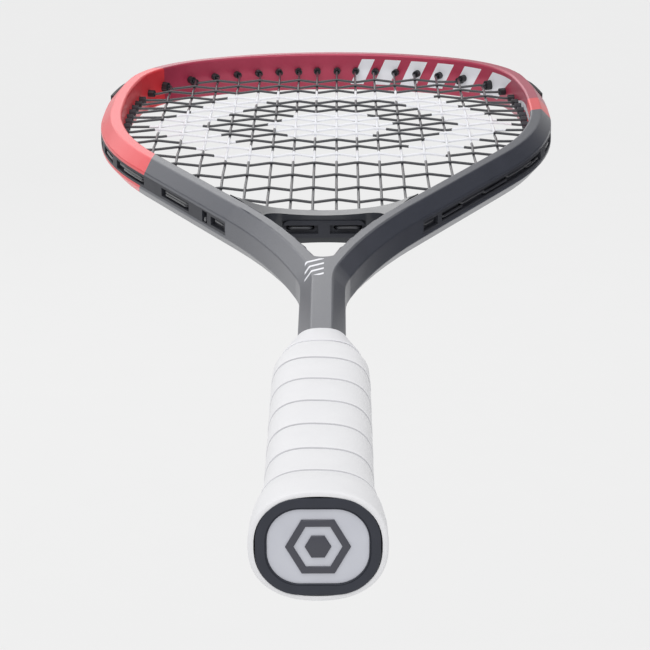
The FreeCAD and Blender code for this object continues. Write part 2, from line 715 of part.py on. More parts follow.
def main_route():
    """Route of the main string from its left end to its right end."""
    half = []
    bridge_loop_y = BRIDGE_FRONT + size("bridge_strip_recess") - size("strip_floor")
    bridge_loop_y -= size("bridge_loop_gap") + STRING_RADIUS
    for number, x in enumerate(MAINS):
        at_top = TOP_STATIONS[number]
        is_last = number + 1 == MAINS_PER_SIDE
        top_end = SLOT_FLOOR + size("knot_gap") if is_last else LOOP_OFFSET
        if number < BRIDGE_MAINS:
            foot = [Vector(x, bridge_loop_y, LAYER)]
        else:
            station, mouth = ARM_ENTRIES[number]
            foot = [at_station(station, mouth, LAYER), at_station(station, LOOP_OFFSET, LAYER)]
        head = [at_station(at_top, MOUTH, LAYER), at_station(at_top, top_end, LAYER)]
        going_down = number % 2 == 0
        half.append(head[::-1] + foot if going_down else foot[::-1] + head)
    route = []
    for number, leg in enumerate(half):
        route += leg
        if number + 1 < MAINS_PER_SIDE:
            going_down = number % 2 == 0
            if going_down and number >= BRIDGE_MAINS:
                route += loop_points(ARM_STATIONS[number], ARM_STATIONS[number + 1], LAYER)[1:-1]
            elif not going_down:
                route += loop_points(TOP_STATIONS[number], TOP_STATIONS[number + 1], LAYER)[1:-1]
    return flip(route)[::-1] + route


def cross_route():
    """Route of the cross string from the bottom cross up."""
    route = []
    for number, station in enumerate(CROSS_STATIONS):
        wall = at_station(station, MOUTH, -LAYER)
        end = at_station(station, LOOP_OFFSET, -LAYER)
        is_knotted = number in (0, CROSS_COUNT - 1)
        left_end = at_station(station, SLOT_FLOOR + size("knot_gap"), -LAYER) if is_knotted else end
        leg = flip([left_end, wall]) + [wall, end]
        to_right = number % 2 == 0
        route += leg if to_right else leg[::-1]
        if number + 1 < CROSS_COUNT:
            middle = loop_points(station, CROSS_STATIONS[number + 1], -LAYER)[1:-1]
            route += middle if to_right else flip(middle)
    return route


def route_radii(points):
    """A loop's corners in the channel are tight; the mouth of a barrel is gentler."""
    radii = []
    for index, corner in enumerate(points):
        if 0 < index < len(points) - 1:
            back = points[index - 1] - corner
            ahead = points[index + 1] - corner
            turn = math.pi - back.getAngle(ahead)
            wanted = size("loop_bend") if turn > math.radians(70) else size("string_bend")
            room = 0.45 * min(back.Length, ahead.Length) / math.tan(turn / 2) if turn > 0.001 else 0
            radii.append(min(wanted, room))
        else:
            radii.append(0)
    return radii


def string_solid(points):
    """Tube of the string's diameter along straight runs and tangent arcs."""
    edges = rounded_run(points, route_radii(points))
    heading = (points[1] - points[0]).normalize()
    circle = Part.Wire(Part.Circle(points[0], heading, STRING_RADIUS).toShape())
    tube = Part.Wire(edges).makePipeShell([circle], True, False)
    length = sum(edge.Length for edge in edges)
    expected = math.pi * STRING_RADIUS ** 2 * length
    print("string length %.0f mm, volume %.4f of section times length" % (length, tube.Volume / expected))
    return tube


MAIN_ROUTE = main_route()
CROSS_ROUTE = cross_route()
shape_node("main_string", string_solid(MAIN_ROUTE))
shape_node("cross_string", string_solid(CROSS_ROUTE))


def stop_knot(end, before):
    """Knot on the string's end in its slot, clear of the other layer's loops."""
    heading = (end - before).normalize()
    layer_side = 1 if end.z > 0 else -1
    shift = UP * layer_side * (size("knot_diameter") - size("string_diameter")) / 2
    knot = Part.makeCylinder(size("knot_diameter") / 2, size("knot_length"), end + shift, heading)
    return knot.makeFillet(size("knot_diameter") / 5, knot.Edges[:1] + knot.Edges[2:])


main_knots = [stop_knot(MAIN_ROUTE[0], MAIN_ROUTE[1]), stop_knot(MAIN_ROUTE[-1], MAIN_ROUTE[-2])]
cross_knots = [stop_knot(CROSS_ROUTE[0], CROSS_ROUTE[1]), stop_knot(CROSS_ROUTE[-1], CROSS_ROUTE[-2])]
shape_node("main_string_knots", Part.makeCompound(main_knots))
shape_node("cross_string_knots", Part.makeCompound(cross_knots))


# ---------------------------------------------------------------- handle, from the sheet

ALIASES = {alias for alias, _, _ in DRIVING_SIZES}


def bound(expression):
    """The expression with every size's name pointed at the sheet."""
    def point_at_sheet(word):
        return "Sizes." + word.group() if word.group() in ALIASES else word.group()
    return re.sub("[a-z_]+", point_at_sheet, expression)


def value_of(expression):
    return float(sizes.evalExpression(expression))


def outline_sketch(body, name, distance, corners):
    """Closed outline across the handle, at a distance from the butt; corners are expressions."""
    sketch = body.newObject("Sketcher::SketchObject", name)
    plane = [feature for feature in body.Origin.OriginFeatures if feature.Role == "XZ_Plane"][0]
    sketch.AttachmentSupport = (plane, "")
    sketch.MapMode = "FlatFace"
    sketch.setExpression("AttachmentOffset.Base.z", bound(f"-({distance})"))
    places = [Vector(value_of(x), value_of(z), 0) for x, z in corners]
    count = len(places)
    for index in range(count):
        sketch.addGeometry(Part.LineSegment(places[index], places[(index + 1) % count]), False)
    for index in range(count):
        sketch.addConstraint(Sketcher.Constraint("Coincident", index, 2, (index + 1) % count, 1))
        for kind, expression in zip(("DistanceX", "DistanceY"), corners[index]):
            constraint = Sketcher.Constraint(kind, -1, 1, index, 1, value_of(expression))
            number = sketch.addConstraint(constraint)
            sketch.setExpression(f"Constraints[{number}]", bound(expression))
    return sketch


def facets(half_width, half_height, across, down):
    """Eight corners of a section whose corner facets run across and down by these amounts."""
    w, z = f"({half_width})", f"({half_height})"
    a, d = f"({across})", f"({down})"
    return [(w, f"-({z} - {d})"), (w, f"{z} - {d}"), (f"{w} - {a}", z), (f"-({w} - {a})", z),
            (f"-{w}", f"{z} - {d}"), (f"-{w}", f"-({z} - {d})"), (f"-({w} - {a})", f"-{z}"),
            (f"{w} - {a}", f"-{z}")]


def upper_half(corners, floor):
    """The part of such a section above a floor height."""
    kept = corners[1:5]
    return [(corners[0][0], floor)] + kept + [(corners[5][0], floor)]


def pad_between(body, name, start, end, corners):
    pad = body.newObject("PartDesign::Pad", name)
    pad.Profile = outline_sketch(body, name + "_outline", start, corners)
    pad.Reversed = True
    pad.setExpression("Length", bound(f"({end}) - ({start})"))
    return pad


def pocket_between(body, name, start, end, corners):
    """Takes away the section between two distances from the butt."""
    before = volume_of(body)
    pocket = body.newObject("PartDesign::Pocket", name)
    pocket.Profile = outline_sketch(body, name + "_outline", start, corners)
    pocket.setExpression("Length", bound(f"({end}) - ({start})"))
    if not volume_of(body) < before:
        raise RuntimeError(f"{name} cuts nothing")
    return pocket


def volume_of(body):
    doc.recompute()
    return body.Shape.Volume


def loft_through(body, kind, name, stages):
    """Ruled loft through sections, each a distance from the butt and its corners."""
    loft = body.newObject(f"PartDesign::{kind}", name)
    sketches = [outline_sketch(body, f"{name}_{number}", distance, corners)
                for number, (distance, corners) in enumerate(stages)]
    loft.Profile = sketches[0]
    loft.Sections = sketches[1:]
    loft.Ruled = True
    doc.recompute()
    return loft


def between(first, second, share):
    return f"(({first}) * (1 - ({share})) + ({second}) * ({share}))"


# Half sizes and facets along the handle
PALLET = facets("pallet_width / 2", "pallet_height / 2", "pallet_bevel", "pallet_bevel")
SKIRT_INSET = "(cap_skirt + cap_fit)"
PALLET_FOOT = facets(f"pallet_width / 2 - {SKIRT_INSET}", f"pallet_height / 2 - {SKIRT_INSET}",
                     f"pallet_bevel - {SKIRT_INSET} / 2", f"pallet_bevel - {SKIRT_INSET} / 2")
CAP_SEAT = facets("pallet_width / 2 - cap_skirt", "pallet_height / 2 - cap_skirt",
                  "pallet_bevel - cap_skirt / 2", "pallet_bevel - cap_skirt / 2")
CAP_END = facets("cap_width / 2", "cap_height / 2", "cap_bevel", "cap_bevel")
FACET_ACROSS = "(beam_width - beam_top_flat)"
FACET_DOWN = "(beam_height / 2 - beam_side_height / 2)"


def around_shaft(gap):
    """Section of the shaft, bigger by a gap all round."""
    return facets(f"shaft_width / 2 + {gap}", f"beam_height / 2 + {gap}", FACET_ACROSS, FACET_DOWN)


def around_taper(distance_share, extra):
    """Section of the pallets' taper at a share of its length, bigger by an extra thickness."""
    end = "pallet_fit + taper_wall"
    return facets(between("pallet_width / 2", f"shaft_width / 2 + {end}", distance_share) + f" + {extra}",
                  between("pallet_height / 2", f"beam_height / 2 + {end}", distance_share) + f" + {extra}",
                  between("pallet_bevel", FACET_ACROSS, distance_share),
                  between("pallet_bevel", FACET_DOWN, distance_share))


def staple(fit, side):
    """Crown and two legs as one bound solid; side is 1 above the handle and -1 below."""
    top = ("(pallet_height / 2 + (cap_height - pallet_height) / 2 * (cap_length - staple_from_butt)"
           " / (cap_length - cap_floor) - staple_sunk)")
    wire = f"(staple_wire + 2 * {fit})"
    boxes = []
    for name, x, width, depth in (
            ("crown", f"-staple_crown / 2 - {wire} / 2", f"staple_crown + {wire}", f"{wire}"),
            ("left_leg", f"-staple_crown / 2 - {wire} / 2", wire, f"staple_leg + {wire}"),
            ("right_leg", f"staple_crown / 2 - {wire} / 2", wire, f"staple_leg + {wire}")):
        box = doc.addObject("Part::Box", f"staple_{name}")
        box.setExpression("Length", bound(width))
        box.setExpression("Width", bound(wire))
        box.setExpression("Height", bound(depth))
        box.setExpression("Placement.Base.x", bound(x))
        box.setExpression("Placement.Base.y", bound(f"staple_from_butt - {wire} / 2"))
        base = f"{top} + {fit} - ({depth})" if side > 0 else f"-({top}) - {fit}"
        box.setExpression("Placement.Base.z", bound(base))
        boxes.append(box)
    whole = doc.addObject("Part::MultiFuse", "staple")
    whole.Shapes = boxes
    return whole


def cut_from(name, base, tools):
    """A finished piece less the room for its staples."""
    room = doc.addObject("Part::MultiFuse", name + "_staple_room")
    room.Shapes = tools
    cut = doc.addObject("Part::Cut", name)
    cut.Base = base
    cut.Tool = room
    return keep(name, cut)


def pallet_body(name):
    """One foam half: a foot inside the cap's skirt, the full section, the taper and the shaft's bed."""
    body = doc.addObject("PartDesign::Body", name)
    foot_start = "cap_floor + cap_fit"
    full_start = "cap_length + cap_fit"
    pad_between(body, name + "_foot", foot_start, full_start, upper_half(PALLET_FOOT, "pallet_parting"))
    pad_between(body, name + "_length", full_start, "handle_length", upper_half(PALLET, "pallet_parting"))
    loft_through(body, "AdditiveLoft", name + "_taper", [
        ("handle_length", upper_half(PALLET, "pallet_parting")),
        ("handle_length + taper_length", upper_half(around_taper("1", "0"), "pallet_parting"))])
    bed = upper_half(around_shaft("pallet_fit"), "-1")
    pocket_between(body, name + "_bed", "0", "handle_length + taper_length + 1", bed)
    return body


upper_pallet = pallet_body("upper_pallet_block")
lower_pallet = pallet_body("lower_pallet_block")
lower_pallet.Placement = FreeCAD.Placement(Vector(0, 0, 0), Vector(0, 1, 0), 180)
cut_from("upper_handle_pallet", upper_pallet, [staple("staple_fit", 1), staple("staple_fit", -1)])
cut_from("lower_handle_pallet", lower_pallet, [staple("staple_fit", 1), staple("staple_fit", -1)])

cap = doc.addObject("PartDesign::Body", "butt_cap_block")
pad_between(cap, "cap_end", "0", "cap_floor", CAP_END)
loft_through(cap, "AdditiveLoft", "cap_skirt_shape", [("cap_floor", CAP_END), ("cap_length", PALLET)])
pocket_between(cap, "cap_socket", "cap_floor", "cap_length + 1", CAP_SEAT)
badge_seat = facets("badge_width / 2 + badge_fit", "badge_height / 2 + badge_fit",
                    "badge_bevel", "badge_bevel")
pocket_between(cap, "cap_badge_seat", "0", "badge_recess", badge_seat)
cut_from("butt_cap", cap, [staple("staple_fit", 1), staple("staple_fit", -1)])

staples = doc.addObject("Part::Compound", "butt_cap_staples")
staples.Links = [staple("0", 1), staple("0", -1)]
keep("butt_cap_staples", staples)

badge = doc.addObject("PartDesign::Body", "badge_plate")
pad_between(badge, "badge_outline", "badge_recess - badge_thickness", "badge_recess",
            facets("badge_width / 2", "badge_height / 2", "badge_bevel", "badge_bevel"))
keep("badge_plate", badge)


def hexagon(name, radius):
    """Hexagonal prism on the badge plate, flush with the butt face."""
    prism = doc.addObject("Part::Prism", name)
    prism.Polygon = 6
    prism.Placement = FreeCAD.Placement(Vector(0, 0, 0), Vector(1, 0, 0), 90)
    prism.setExpression("Placement.Base.y", bound("badge_recess - badge_thickness"))
    prism.setExpression("Circumradius", bound(radius))
    prism.setExpression("Height", bound("badge_recess - badge_thickness"))
    return prism


ring = doc.addObject("Part::Cut", "emblem_ring")
ring.Base = hexagon("emblem_outer", "emblem_radius")
ring.Tool = hexagon("emblem_inner", "emblem_radius - emblem_line")
emblem = doc.addObject("Part::Compound", "badge_emblem")
emblem.Links = [ring, hexagon("emblem_middle", "emblem_core")]
keep("badge_emblem", emblem)

TAPE_SHARE = "(1 - tape_width / taper_length)"
TAPE_START = "handle_length + taper_length - tape_width"
TAPER_END = "handle_length + taper_length"
ON_PALLET = facets("pallet_width / 2 + grip_thickness", "pallet_height / 2 + grip_thickness",
                   "pallet_bevel + grip_thickness / 2", "pallet_bevel + grip_thickness / 2")
ON_CAP = facets("cap_width / 2 + grip_butt_thickness", "cap_height / 2 + grip_butt_thickness",
                "cap_bevel + grip_butt_thickness / 2", "cap_bevel + grip_butt_thickness / 2")
TAPER_SKIN = between("grip_thickness", "grip_end_thickness", TAPE_SHARE)


def fitted(half_width, half_height, bevel):
    return facets(f"{half_width} + grip_fit", f"{half_height} + grip_fit", bevel, bevel)


grip = doc.addObject("PartDesign::Body", "grip_wrap")
loft_through(grip, "AdditiveLoft", "grip_outside", [
    ("grip_edge_back", ON_CAP), ("cap_floor", ON_CAP), ("grip_flare_length", ON_PALLET),
    ("handle_length", ON_PALLET), (TAPE_START, around_taper(TAPE_SHARE, TAPER_SKIN))])
solid_grip = volume_of(grip)
loft_through(grip, "SubtractiveLoft", "grip_inside", [
    ("0", fitted("cap_width / 2", "cap_height / 2", "cap_bevel")),
    ("cap_floor", fitted("cap_width / 2", "cap_height / 2", "cap_bevel")),
    ("cap_length", fitted("pallet_width / 2", "pallet_height / 2", "pallet_bevel")),
    ("handle_length", fitted("pallet_width / 2", "pallet_height / 2", "pallet_bevel")),
    (TAPE_START + " + 0.1", around_taper(TAPE_SHARE, "grip_fit"))])
if not grip.Shape.Volume < solid_grip:
    raise RuntimeError("the grip is not hollow")
keep("grip_wrap", grip)

tape = doc.addObject("PartDesign::Body", "grip_finishing_tape")
loft_through(tape, "AdditiveLoft", "tape_outside", [
    (TAPE_START + " + 0.1", around_taper(TAPE_SHARE, TAPER_SKIN)),
    (TAPER_END + " + 0.4", around_taper("1", "grip_end_thickness"))])
solid_tape = volume_of(tape)
loft_through(tape, "SubtractiveLoft", "tape_inside", [
    (TAPE_START, around_taper(TAPE_SHARE, "grip_fit")),
    (TAPER_END + " + 0.5", around_taper("1", "grip_fit"))])
if not tape.Shape.Volume < solid_tape:
    raise RuntimeError("the tape is not hollow")
keep("grip_finishing_tape", tape)


# ---------------------------------------------------------------- checks and files

doc.recompute()
for thing in doc.Objects:
    if "Invalid" in thing.State or "Error" in thing.State:
        raise RuntimeError(f"{thing.Name} did not build: {thing.State}")
for name, thing in finished:
    if thing.Shape.isNull() or not thing.Shape.isValid():
        raise RuntimeError(f"{name} has no valid shape")

os.makedirs("parts", exist_ok=True)
for name, thing in finished:
    thing.Shape.exportStep(f"parts/{name}.step")
    box = thing.Shape.BoundBox
    print("%-22s %d solids %9.0f mm3  x %.1f %.1f  y %.1f %.1f  z %.1f %.1f" % (
        name, len(thing.Shape.Solids), thing.Shape.Volume, box.XMin, box.XMax, box.YMin, box.YMax,
        box.ZMin, box.ZMax))
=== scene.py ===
import bmesh
import bpy
import math
from mathutils import Matrix, Vector


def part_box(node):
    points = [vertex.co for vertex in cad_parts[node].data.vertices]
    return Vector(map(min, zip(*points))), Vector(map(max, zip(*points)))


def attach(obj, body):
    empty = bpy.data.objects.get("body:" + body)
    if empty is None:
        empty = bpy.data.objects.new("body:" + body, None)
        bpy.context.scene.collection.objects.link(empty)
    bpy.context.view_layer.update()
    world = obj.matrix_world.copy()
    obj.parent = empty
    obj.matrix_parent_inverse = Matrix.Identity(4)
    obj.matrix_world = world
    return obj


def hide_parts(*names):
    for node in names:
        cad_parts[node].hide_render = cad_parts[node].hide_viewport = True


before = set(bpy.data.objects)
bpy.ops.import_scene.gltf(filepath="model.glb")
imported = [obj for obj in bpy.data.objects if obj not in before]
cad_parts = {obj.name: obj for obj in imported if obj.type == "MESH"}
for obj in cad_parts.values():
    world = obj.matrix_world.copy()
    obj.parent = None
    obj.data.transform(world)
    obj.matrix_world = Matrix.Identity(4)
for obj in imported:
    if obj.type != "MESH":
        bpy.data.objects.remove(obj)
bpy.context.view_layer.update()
MM = 0.001


# ------------------------------------------------------------ hoop, arms and shaft
# One hollow graphite beam, moulded with its two arms meeting in the shaft, then filled, sprayed and
# lacquered: slate over the arms and sides, coral and deep red round the head, white marks on top.

class Value:
    """A number, vector or colour in a finish; arithmetic on it adds Math nodes."""

    def __init__(self, finish, socket):
        self.finish = finish
        self.socket = socket

    def maths(self, operation, *terms):
        sockets = dict(enumerate(terms))
        return self.finish.node("Math", {"operation": operation}, sockets)

    def __add__(self, other):
        return self.maths("ADD", self, other)

    def __sub__(self, other):
        return self.maths("SUBTRACT", self, other)

    def __rsub__(self, other):
        return self.maths("SUBTRACT", other, self)

    def __mul__(self, other):
        return self.maths("MULTIPLY", self, other)

    def __truediv__(self, other):
        return self.maths("DIVIDE", self, other)

    def __mod__(self, other):
        return self.maths("FLOORED_MODULO", self, other)

    def __gt__(self, other):
        return self.maths("GREATER_THAN", self, other)

    def __lt__(self, other):
        return self.maths("LESS_THAN", self, other)

    def __abs__(self):
        return self.maths("ABSOLUTE", self)

    def or_else(self, other):
        return self.maths("MAXIMUM", self, other)

    __radd__ = __add__
    __rmul__ = __mul__


class Finish:
    """A node material with one Principled shader; constants are set on the shader's own sockets."""

    def __init__(self, name, **constants):
        self.material = bpy.data.materials.new(name)
        self.material.use_nodes = True
        self.tree = self.material.node_tree
        self.shader = self.tree.nodes["Principled BSDF"]
        for socket, number in constants.items():
            self.shader.inputs[socket.replace("_", " ")].default_value = number

    def feed(self, socket, term):
        if isinstance(term, Value):
            self.tree.links.new(term.socket, socket)
        else:
            socket.default_value = term

    def node(self, kind, settings, sockets, output=0):
        made = self.tree.nodes.new("ShaderNode" + kind)
        for setting, choice in settings.items():
            setattr(made, setting, choice)
        for socket, term in sockets.items():
            self.feed(made.inputs[socket], term)
        return Value(self, made.outputs[output])

    def place(self):
        """Object coordinates in millimetres, as a vector and its three parts."""
        metres = self.node("TexCoord", {}, {}, "Object")
        spot = self.node("VectorMath", {"operation": "SCALE"}, {0: metres, "Scale": 1 / MM})
        return spot, [self.node("SeparateXYZ", {}, {0: spot}, axis) for axis in range(3)]

    def noise(self, spot, scale, detail=2.0):
        return self.node("TexNoise", {}, {"Vector": spot, "Scale": scale, "Detail": detail}, 0)

    def mix(self, share, below, above):
        """Colour below, covered by colour above where share is 1."""
        return self.node("Mix", {"data_type": "RGBA"}, {0: share, 6: below, 7: above}, 2)

    def show(self, **terms):
        for socket, term in terms.items():
            self.feed(self.shader.inputs[socket.replace("_", " ")], term)

    def bump(self, height, distance, strength=1.0):
        sockets = {"Height": height, "Distance": distance, "Strength": strength}
        self.feed(self.shader.inputs["Normal"], self.node("Bump", {}, sockets))

    def dress(self, node):
        """Gives this finish to a CAD node."""
        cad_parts[node].material_slots[0].material = self.material


def hue(code):
    """Linear colour from a web colour code."""
    parts = [int(code[k:k + 2], 16) / 255 for k in (0, 2, 4)]
    return tuple(c / 12.92 if c < 0.04045 else ((c + 0.055) / 1.055) ** 2.4 for c in parts) + (1.0,)


CORAL_START = 446.1         # on the left arm, from the butt; the cut slants across and down the beam
CORAL_RISE = (9.26, -4.14)  # change of that start with x and with z
RIGHT_CORAL_START = 534.0
RIGHT_WINE_START = 561.0
RIGHT_SLANT = 0.5
LEFT_WINE_START = 639.0
BAR_PITCH = 13.5
BAR_WIDTH = 8.2
BAR_LEAN = 0.45
BAR_HALF_HEIGHT = 6.6
ARM_SLOPE = 0.51            # how fast an arm spreads with distance from the butt


def beam_paint():
    paint = Finish("frame_lacquer", Coat_Roughness=0.22, IOR=1.5)
    spot, (x, y, z) = paint.place()
    cloud = paint.noise(spot, 0.06, 3.0)
    flake = paint.noise(spot, 9.0, 1.0)
    slate = paint.mix(cloud, hue("3D404A"), hue("474A55"))
    slate = paint.mix((flake > 0.66) * 0.5, slate, hue("8A8E9C"))
    coral = paint.mix(cloud, hue("E8303A"), hue("F4424C"))
    wine = paint.mix(cloud, hue("A82C4A"), hue("BE3C5A"))
    wine = paint.mix((flake > 0.68) * 0.4, wine, hue("C86A80"))

    # Slate gives way to coral along a slanting cut, and coral to deep red just before the crown
    left = x < 0
    cut = CORAL_RISE[0] * (x + 75.3) + CORAL_RISE[1] * (z - 9.5)
    left_coral = left * (y > CORAL_START + cut)
    right_coral = (1 - left) * (y > RIGHT_CORAL_START + RIGHT_SLANT * (x - 95))
    right_wine = (1 - left) * (y > RIGHT_WINE_START + RIGHT_SLANT * (x - 98))
    left_wine = left * (y > LEFT_WINE_START)
    colour = paint.mix(left_coral.or_else(right_coral), slate, coral)
    colour = paint.mix(left_wine.or_else(right_wine), colour, wine)

    # White marks: slanted bars on the inner wall of the crown, dashes at the throat and small ticks
    facing = paint.node("TexCoord", {}, {}, "Normal")
    inward = paint.node("VectorMath", {"operation": "DOT_PRODUCT"}, {0: facing, 1: (0.6, 0.8, 0)}, "Value")
    slanted = x - BAR_LEAN * z
    bars = (slanted % BAR_PITCH < BAR_WIDTH) * (abs(z - 0.3) < BAR_HALF_HEIGHT)
    bars = bars * (slanted > 15) * (slanted < 96) * (y > 540)
    marks = bars * (inward < -0.5)
    stroke = y - 0.9 * x
    dashes = (stroke % 7.0 < 2.3) * (y > 251) * (y < 274) * (abs(x + 3.2) < 3.6) * (z > 0)
    upper_line = x - ARM_SLOPE * (y - 383) - 58.5
    lower_line = x - ARM_SLOPE * (y - 362) - 55.0
    row = (y % 2.6 < 1.3) * (y > 374) * (y < 392) * (abs(upper_line) < 1.5) * (z > 4.5)
    lower = (y % 3.2 < 1.5) * (y > 352) * (y < 372) * (abs(lower_line) < 0.9) * (z < -5)
    marks = marks.or_else(dashes).or_else(row).or_else(lower)
    colour = paint.mix(marks, colour, hue("ECEDF3"))

    ripple = paint.noise(spot, 0.9, 2.0)
    paint.show(Base_Color=colour, Roughness=0.36 + 0.08 * cloud - 0.05 * marks)
    paint.show(Metallic=0.25 * (1 - marks), Coat_Weight=0.35 + 0.1 * cloud)
    paint.bump(ripple * 0.6 + flake * 0.1 + marks * 0.5, 0.05 * MM, 0.6)
    return paint


beam_paint().dress("frame_tube")


# ------------------------------------------------------------ throat bridge
# A short graphite bar bonded between the arms to close the hoop. It is moulded with the beam and
# sprayed gloss black, so the sheen shows the slight ripple of the cloth below.

def bridge_paint():
    paint = Finish("bridge_lacquer", Coat_Weight=0.5, Coat_Roughness=0.12)
    spot, _ = paint.place()
    cloud = paint.noise(spot, 0.15, 3.0)
    flake = paint.noise(spot, 9.0, 1.0)
    colour = paint.mix(cloud, hue("24272D"), hue("2F333B"))
    colour = paint.mix((flake > 0.67) * 0.4, colour, hue("5A5E6A"))
    paint.show(Base_Color=colour, Roughness=0.28 + 0.12 * cloud)
    paint.bump(paint.noise(spot, 0.8, 2.0), 0.04 * MM, 0.6)
    return paint


bridge_paint().dress("throat_bridge")


# ------------------------------------------------------------ bumper guard and grommet strips
# Injection-moulded nylon: the bumper caps the crown, and the strips fill the channel. Their barrels
# line the string holes. The surface is a fine spark texture, rubbed smooth on the bumper's crest.

def nylon(name, dark, light, scuffed):
    plastic = Finish(name, IOR=1.46)
    spot, (_, _, z) = plastic.place()
    grain = plastic.noise(spot, 4.0, 3.0)
    cloud = plastic.noise(spot, 0.12, 3.0)
    colour = plastic.mix(cloud, hue(dark), hue(light))
    scratch = plastic.node("Mapping", {}, {"Vector": spot, "Scale": (0.15, 0.15, 2.5)})
    rub = (plastic.noise(scratch, 1.0, 4.0) > 0.6) * (abs(z) < 3.6) * scuffed
    colour = plastic.mix(rub * 0.35, colour, hue("6A6C72"))
    plastic.show(Base_Color=colour, Roughness=0.46 + 0.16 * grain - 0.1 * rub)
    plastic.bump(grain, 0.06 * MM, 0.7)
    return plastic


nylon("bumper_nylon", "1D1E22", "2A2B30", 1.0).dress("bumper_guard")
strip_nylon = nylon("grommet_nylon", "2C2D34", "3A3C44", 0.0)
for strip in ("left_grommet_strip", "right_grommet_strip", "bridge_grommet_strip"):
    strip_nylon.dress(strip)


# ------------------------------------------------------------ main string, cross string and knots
# Two lengths of 1.25 mm multifilament nylon. The cross string passes over and under the mains, and
# both bow by the same amount where they meet. A stencil is painted on the bed in white ink after stringing.

STRING_RADIUS = 0.625
LAYER = 0.65                # each string's layer where it enters the frame
MAIN_BOW = 0.66             # middle of a main from the bed's plane where it crosses
CROSS_BOW = 0.66
WALL_HEIGHT = 5.0           # height at which the inner wall is clear of the string holes
MOUTH_LEAD = 4.8            # inner wall to where a string turns into its barrel
EASE = 1.2                  # half the length over which a string bends at a crossing
RING_SHIFTS = (-1.8, -0.9, 0, 0.9, 1.8)
LONG_FACE = 4.0             # a string's face longer than this is part of a straight run
ROW_GAPS = (14.0, 12.0, 15.0, 10.0, 9.5, 9.5, 11.0, 9.5, 11.0, 11.0, 11.0, 12.5, 13.5, 15.5, 17.0,
            22.5, 23.5, 21.5, 19.5)

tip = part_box("bumper_guard")[1].y / MM
half_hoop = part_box("frame_tube")[1].x / MM
TOP_ROW = tip - 35.4        # top cross below the tip
FIRST_MAIN = 5.0
LAST_MAIN = half_hoop - 27.5
MAIN_SPREAD = 0.02
MAINS_A_SIDE = 8

ROWS = [TOP_ROW - sum(ROW_GAPS[:number]) for number in range(len(ROW_GAPS) + 1)][::-1]
gaps_a_side = MAINS_A_SIDE - 1
spread_whole = gaps_a_side + MAIN_SPREAD * gaps_a_side ** 2
side_mains = [FIRST_MAIN + (LAST_MAIN - FIRST_MAIN) * (k + MAIN_SPREAD * k * k) / spread_whole
              for k in range(MAINS_A_SIDE)]
MAINS = [-x for x in side_mains[::-1]] + side_mains


def free_run(x, y, along_x, along_y):
    """How far a string runs free from a point of the bed before it turns into its barrel."""
    start = Vector((x, y, WALL_HEIGHT)) * MM
    direction = Vector((along_x, along_y, 0))
    runs = []
    for name in ("frame_tube", "throat_bridge"):
        hit, place, normal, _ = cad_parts[name].ray_cast(start, direction)
        if hit:
            lead = MOUTH_LEAD / max(abs(normal.dot(direction)), 0.5)
            runs.append((place - start).length / MM - lead)
    return min(runs)


def zigzag(stops, along):
    """Height of a string at a place along it, eased where it bends over each stop."""
    total = 0.0
    shifts = (-EASE, -EASE / 2, 0, EASE / 2, EASE)
    for shift in shifts:
        spot = min(max(along + shift, stops[0][0]), stops[-1][0])
        for (first, low), (last, high) in zip(stops, stops[1:]):
            if first <= spot <= last:
                total += low + (high - low) * (spot - first) / (last - first)
                break
    return total / len(shifts)


MIDDLE_ROW = (ROWS[0] + ROWS[-1]) / 2 + 20
row_reach = [free_run(0, y, 1, 0) for y in ROWS]
main_reach = [(MIDDLE_ROW - free_run(x, MIDDLE_ROW, 0, -1), MIDDLE_ROW + free_run(x, MIDDLE_ROW, 0, 1))
              for x in MAINS]


def crosses(main, row):
    low, high = main_reach[main]
    return abs(MAINS[main]) < row_reach[row] and low < ROWS[row] < high


def over(main, row):
    """1 where the main passes over the cross, -1 where it passes under."""
    return 1 if (main + row) % 2 == 0 else -1


def main_stops(main):
    low, high = main_reach[main]
    stops = [(low, LAYER)]
    stops += [(ROWS[row], MAIN_BOW * over(main, row)) for row in range(len(ROWS)) if crosses(main, row)]
    return stops + [(high, LAYER)]


def row_stops(row):
    stops = [(-row_reach[row], -LAYER)]
    stops += [(MAINS[main], -CROSS_BOW * over(main, row)) for main in range(len(MAINS))
              if crosses(main, row)]
    return stops + [(row_reach[row], -LAYER)]


def linked(name, content):
    """A new object of the scene."""
    thing = bpy.data.objects.new(name, content)
    bpy.context.scene.collection.objects.link(thing)
    return thing


def woven_string(node, name, axis, places, cuts_at, stops, rest_layer):
    """A copy of a string whose straight runs are ringed with cuts and bent over and under."""
    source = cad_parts[node].data.copy()
    source.attributes.remove(source.attributes["custom_normal"])
    shape = bmesh.new()
    shape.from_mesh(source)
    bmesh.ops.remove_doubles(shape, verts=shape.verts, dist=0.001 * MM)
    long_faces = [face for face in shape.faces
                  if max(edge.calc_length() for edge in face.edges) > LONG_FACE * MM]
    geometry = set(long_faces)
    geometry.update(edge for face in long_faces for edge in face.edges)
    geometry.update(vert for face in long_faces for vert in face.verts)
    geometry = list(geometry)
    direction = Vector((0, 0, 0))
    direction[axis] = 1
    for centre in cuts_at:
        for shift in RING_SHIFTS:
            plane = direction * (centre + shift) * MM
            cut = bmesh.ops.bisect_plane(shape, geom=geometry, dist=0.001 * MM,
                                         plane_co=plane, plane_no=direction)
            geometry = cut["geom"]
    for vert in shape.verts:
        across = vert.co[1 - axis] / MM
        along = vert.co[axis] / MM
        number = min(range(len(places)), key=lambda k: abs(places[k] - across))
        run = stops[number]
        if abs(places[number] - across) < 2 * STRING_RADIUS and run[0][0] < along < run[-1][0]:
            vert.co.z += (zigzag(run, along) - rest_layer) * MM
    for face in shape.faces:
        face.smooth = True
    shape.to_mesh(source)
    shape.free()
    return linked(name, source)


